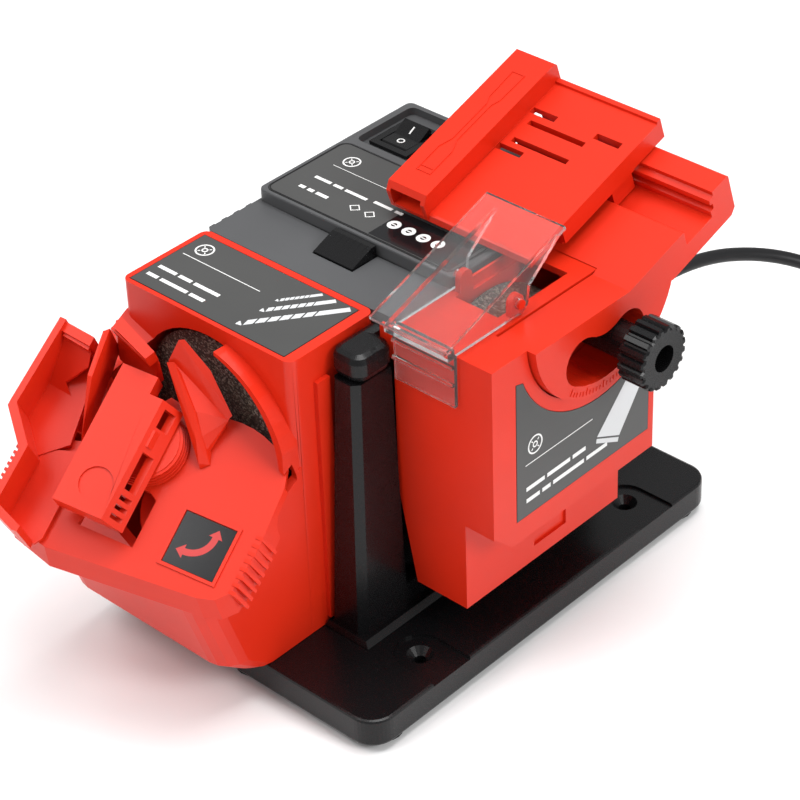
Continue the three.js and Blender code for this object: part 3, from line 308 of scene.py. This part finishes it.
def drill_icon(tip, end, width, turns):
    """A twist drill: a point, slanting bands along the flutes, and a plain shank."""
    start, stop = Vector(tip), Vector(end)
    way = (stop - start).normalized()
    side = Vector((-way.y, way.x))
    length = (stop - start).length
    half = width / 2
    fluted = length * 0.62
    pitch = fluted / turns

    def spot(along, across):
        return tuple(start + way * along + side * across)

    faces = [[spot(0, 0), spot(half * 1.2, half), spot(half * 1.6, half), spot(half * 1.6, -half),
              spot(half * 1.2, -half)]]
    for turn in range(turns):
        low = half * 1.9 + turn * pitch
        faces.append([spot(low, -half), spot(low + pitch * 0.82, -half), spot(low + pitch * 1.34, half),
                      spot(low + pitch * 0.52, half)])
    shank = half * 1.9 + turns * pitch
    faces.append([spot(shank, -half), spot(length, -half), spot(length, half),
                  spot(shank + pitch * 0.52, half)])
    return faces


def dashes(left, level, lengths, width, gap=1.6):
    """A row of plain bars, where a line of small print would be."""
    faces = []
    for length in lengths:
        faces += line([(left, level), (left + length, level)], width)
        left += length + gap
    return faces


def disc_icon(x, y, radius):
    """A plain wheel: a rim, a hub and four short spokes."""
    faces = line(arc(x, y, radius), 0.7, closed=True)
    faces += line(arc(x, y, radius * 0.3, steps=16), 0.6, closed=True)
    for quarter in range(4):
        angle = math.radians(45 + 90 * quarter)
        inner, outer = radius * 0.5, radius * 0.78
        faces += line([(x + inner * math.cos(angle), y + inner * math.sin(angle)),
                       (x + outer * math.cos(angle), y + outer * math.sin(angle))], 0.5)
    return faces


def drill_label_marks():
    corner = Vector((0, 0, 135.1))
    icons = []
    for tip, end, width in (((-93.7, 29.1), (-66.2, 64.9), 2.9), ((-93.0, 41.5), (-74.6, 65.6), 2.4),
                            ((-93.2, 50.5), (-81.8, 65.6), 1.7)):
        icons += drill_icon(tip, end, width, 6)
    printed("drill_label_icons", icons, corner, X, Y, "housing", SILVER)
    rules = line([(-146.0, 51.4), (-102.4, 51.4)], 0.4) + dashes(-146.6, 38.8, (10, 7, 14), 1.9)
    rules += dashes(-146.6, 32.4, (6, 15, 8), 1.9) + disc_icon(-140.8, 58.6, 3.8)
    printed("drill_label_marks", rules, corner, X, Y, "housing", WHITE)


def chisel_label_marks():
    corner = Vector((7.82, 0, 0))
    blade = [[(125.6, 71.4), (139.4, 64.6), (140.0, 66.6), (126.0, 73.4)],
             [(126.2, 74.2), (140.3, 67.4), (154.6, 87.2), (152.0, 95.4), (144.6, 93.0)]]
    printed("chisel_label_icon", blade, corner, Y, Z, "housing", SILVER)
    rules = line([(82.4, 84.8), (123.2, 84.8)], 0.4) + dashes(82.8, 73.0, (11, 14, 8), 1.9)
    rules += dashes(82.8, 67.4, (8, 5, 19, 13), 1.9) + disc_icon(88.2, 92.4, 4.0)
    printed("chisel_label_marks", rules, corner, Y, Z, "housing", WHITE)


def control_label_marks():
    corner = Vector((0, 0, 140.92))
    front, back = 103.4, 149.4
    # Painted shade: a dark foil band round the label stands in for the shadow down in the groove round the
    # raised panel.
    outline = line(rounded(-149.2, front - 0.8, -47.7, back + 0.7, 3.8), 0.6, closed=True)
    printed("control_label_groove_painted_shade", outline, corner, X, Y, "housing", DARK_FOIL)
    strip = [[(-92.5, front), (-49.4, front), (-49.4, 124), (-92.5, 124)]]
    printed("control_label_strip", strip, corner, X, Y, "housing", DARK_FOIL)
    marks = []
    for step in range(4):
        x, y = -88.6 + step * 7.9, 114.6
        marks += line(arc(x, y, 2.15), 1.7, closed=True)
        marks += line([(x - 1.1, y), (x + 1.1, y)], 0.6)
    for x in (-109.8, -101.6):
        marks += line([(x - 2.6, 114.0), (x, 111.6), (x + 2.6, 114.0), (x, 116.4)], 0.45, closed=True)
    marks += dashes(-139.4, 121.6, (9, 5, 12), 1.7) + dashes(-139.6, 112.4, (3.2, 3.2, 6.4), 1.9)
    marks += line([(-140.0, 133.0), (-98.0, 133.0)], 0.3) + disc_icon(-135.6, 139.6, 3.6)
    marks += dashes(-106.8, 122.4, (10, 4), 1.7)
    printed("control_label_marks", marks, Vector((0, 0, 140.99)), X, Y, "housing", WHITE)


SWIVEL_ORIGIN = Vector((-69, -20.7, 68.4))
SWIVEL_TURN = (34.6, -56.6, 18.9)  # degrees: lean, the compass way it leans, and the turn about its normal


def swivel_axes():
    """The swivel plate's zero point, its two directions and its normal."""
    lean, compass, turn = (math.radians(a) for a in SWIVEL_TURN)
    normal = Vector((math.sin(lean) * math.cos(compass), math.sin(lean) * math.sin(compass),
                     math.cos(lean)))
    level = Z.cross(normal).normalized()
    across = Matrix.Rotation(-turn, 3, normal) @ level
    return SWIVEL_ORIGIN, across, normal.cross(across), normal


def swivel_label_marks():
    origin, across, along, normal = swivel_axes()
    corner = origin + normal * 0.12
    shaft = arc(-4.8, 4.9, 9.2, -90, 2, 14)
    faces = line(shaft, 2.7)
    for outer, inner in ((shaft[0], shaft[1]), (shaft[-1], shaft[-2])):
        foot = Vector(outer)
        out = (foot - Vector(inner)).normalized()
        side = Vector((-out.y, out.x))
        faces.append([tuple(foot + out * 3.4), tuple(foot + side * 2.9), tuple(foot - side * 2.9)])
    printed("swivel_label_arrow", faces, corner, across, along, "swivel", RED_PRINT)


def rocker_marks():
    slope_up = Vector((0, 7.1, 4.0)).normalized()
    low = Vector((0, 7.5, -0.2)).normalized()
    on = line([(-1.9, 0), (1.9, 0)], 0.8)
    printed("rocker_on_mark", on, Vector((-134, 175.0, 140.92)), slope_up, -X, "rocker", WHITE)
    off = line(arc(0, 0, 1.5), 0.65, closed=True)
    printed("rocker_off_mark", off, Vector((-134, 168.0, 139.03)), X, low, "rocker", WHITE)


RAIL_ORIGIN = Vector((0, 174.5, 148.7))
RAIL_TILT = math.radians(18)
FENCE_TOP = 23.02  # above the rail's origin, square to the rail


def slide_marks():
    """A chisel's outline, raised a little on top of the slide's fence."""
    along = Vector((0, math.cos(RAIL_TILT), math.sin(RAIL_TILT)))
    normal = Vector((0, -math.sin(RAIL_TILT), math.cos(RAIL_TILT)))
    corner = RAIL_ORIGIN + normal * FENCE_TOP
    middle = -87.2
    blade = [(-3.6, -38), (3.6, -38), (3.6, -24), (1.2, -18), (1.2, 4), (2.8, 8), (3.2, 24),
             (-3.2, 24), (-2.8, 8), (-1.2, 4), (-1.2, -18), (-3.6, -24)]
    outline = line([(middle + x, u) for x, u in blade], 0.42, closed=True)
    outline += line([(middle - 3.6, -35.4), (middle + 3.6, -35.4)], 0.42)
    printed("slide_chisel_outline", outline, corner, X, along, "slide_plate", RED, thick=0.3)


def angle_scale():
    """Raised tick marks round the edge of the tilt bracket's cheek."""
    corner = Vector((11.42, 126.8, 142))
    ticks = []
    for step in range(21):
        angle = math.radians(-122 + step * 3)
        reach = 39.2 if step % 5 else 38.0
        ticks += line([(reach * math.cos(angle), reach * math.sin(angle)),
                       (41.2 * math.cos(angle), 41.2 * math.sin(angle))], 0.4)
    printed("tilt_scale", ticks, corner, Y, Z, "tilt_bracket", RED, thick=0.25)


drill_label_marks()
chisel_label_marks()
control_label_marks()
swivel_label_marks()
rocker_marks()
slide_marks()
angle_scale()


# ---- Mains cord ---------------------------------------------------------------------------------
TABLE = -12.65  # height of the cord's middle where it lies on the bench
CORD_ROUTE = [(-76, 207.6, 42), (-76, 222, 42), (-76, 240, 42), (-75.8, 258, 42), (-74.8, 276, 42),
              (-72.6, 292, 41.6), (-68.4, 309, 39.4), (-61.6, 328, 33.6), (-52, 343, 27.4), (-38, 355, 20),
              (-20, 363, 11.4), (0, 366.6, 2.4), (20, 367.4, -5.4), (40, 367, -10.4), (58, 366.2, -12.4),
              (76, 365.5, TABLE)]
TAIL_ROUTE = [(135.4, 312, -7.4), (135.8, 298, -10.2), (136, 284, -12.2), (136, 268, TABLE),
              (136, 250.2, TABLE)]
COIL = (95, 325)
OUTER, INNER = 40.3, 33.7
PITCH = 6.6  # between layers of the coil
STEP = 15  # degrees between points of the winding
LAYERS = (TABLE, TABLE + PITCH, TABLE + 2 * PITCH)
# Each stretch of the winding: degrees turned, then the radius and the layer it ends at.
WINDING = [(300, OUTER, 0), (60, INNER, 0), (240, INNER, 0), (60, INNER, 1), (300, INNER, 1), (60, INNER, 2),
           (240, INNER, 2), (60, OUTER, 2), (240, OUTER, 2), (60, OUTER, 1), (270, OUTER, 1)]


def eased(share):
    """Goes from 0 to 1 with a slow start and end."""
    return share * share * (3 - 2 * share)


def wound():
    """The coil's turns, from the cord's first contact with it to the tail."""
    points = []
    angle, radius, height = 90.0, OUTER, LAYERS[0]
    for turned, next_radius, layer in WINDING:
        steps = round(turned / STEP)
        for step in range(steps):
            share = eased(step / steps)
            here = math.radians(angle - turned * step / steps)
            r = radius + (next_radius - radius) * share
            z = height + (LAYERS[layer] - height) * share
            points.append((COIL[0] + r * math.cos(here), COIL[1] + r * math.sin(here), z))
        angle -= turned
        radius, height = next_radius, LAYERS[layer]
    end = math.radians(angle)
    points.append((COIL[0] + radius * math.cos(end), COIL[1] + radius * math.sin(end), height))
    return points


def cord():
    points = [at(*p) for p in CORD_ROUTE + wound() + TAIL_ROUTE]
    curve = bpy.data.curves.new("mains_cord", "CURVE")
    curve.dimensions = "3D"
    curve.bevel_depth = 0.00325
    curve.bevel_resolution = 5
    curve.resolution_u = 4
    curve.use_fill_caps = True
    spline = curve.splines.new("NURBS")
    spline.points.add(len(points) - 1)
    for spot, point in zip(spline.points, points):
        spot.co = (*point, 1)
    spline.order_u = 4
    spline.use_endpoint_u = True
    curve.materials.append(CORD)
    piece = bpy.data.objects.new("mains_cord", curve)
    bpy.context.collection.objects.link(piece)
    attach(piece, "housing")
    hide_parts("cord_free", "cord_coil", "cord_tail")


cord()


# ---- Floor, light -------------------------------------------------------------------------------
def floor():
    mesh = bpy.data.meshes.new("floor")
    size = 6.0
    corners = [(-size, -size, 0), (size, -size, 0), (size, size, 0), (-size, size, 0)]
    mesh.from_pydata(corners, [], [(0, 1, 2, 3)])
    piece = bpy.data.objects.new("floor", mesh)
    piece.location.z = -0.0004  # just under the feet, so that no two faces share a plane
    bpy.context.collection.objects.link(piece)
    paper = grained(material("pale_paper", (0.90, 0.90, 0.90), 0.7), 300, 0.03)
    mesh.materials.append(paper)


def lamp(name, place, aim, size, power):
    data = bpy.data.lights.new(name, "AREA")
    data.size = size
    data.energy = power
    made = bpy.data.objects.new(name, data)
    made.location = place
    made.rotation_euler = (Vector(aim) - Vector(place)).to_track_quat("-Z", "Y").to_euler()
    bpy.context.collection.objects.link(made)


floor()
world = bpy.data.worlds.new("studio")
bpy.context.scene.world = world
world.use_nodes = True
sky = world.node_tree.nodes["Background"]
sky.inputs["Color"].default_value = (1, 1, 1, 1)
sky.inputs["Strength"].default_value = 0.52
lamp("key", (-0.5, -0.7, 1.3), (0, 0, 0.08), 0.8, 9)
lamp("side", (1.3, 0.1, 0.9), (0, 0, 0.08), 0.5, 10)
lamp("top", (0.1, 0.3, 1.6), (0, 0, 0.05), 0.9, 18)
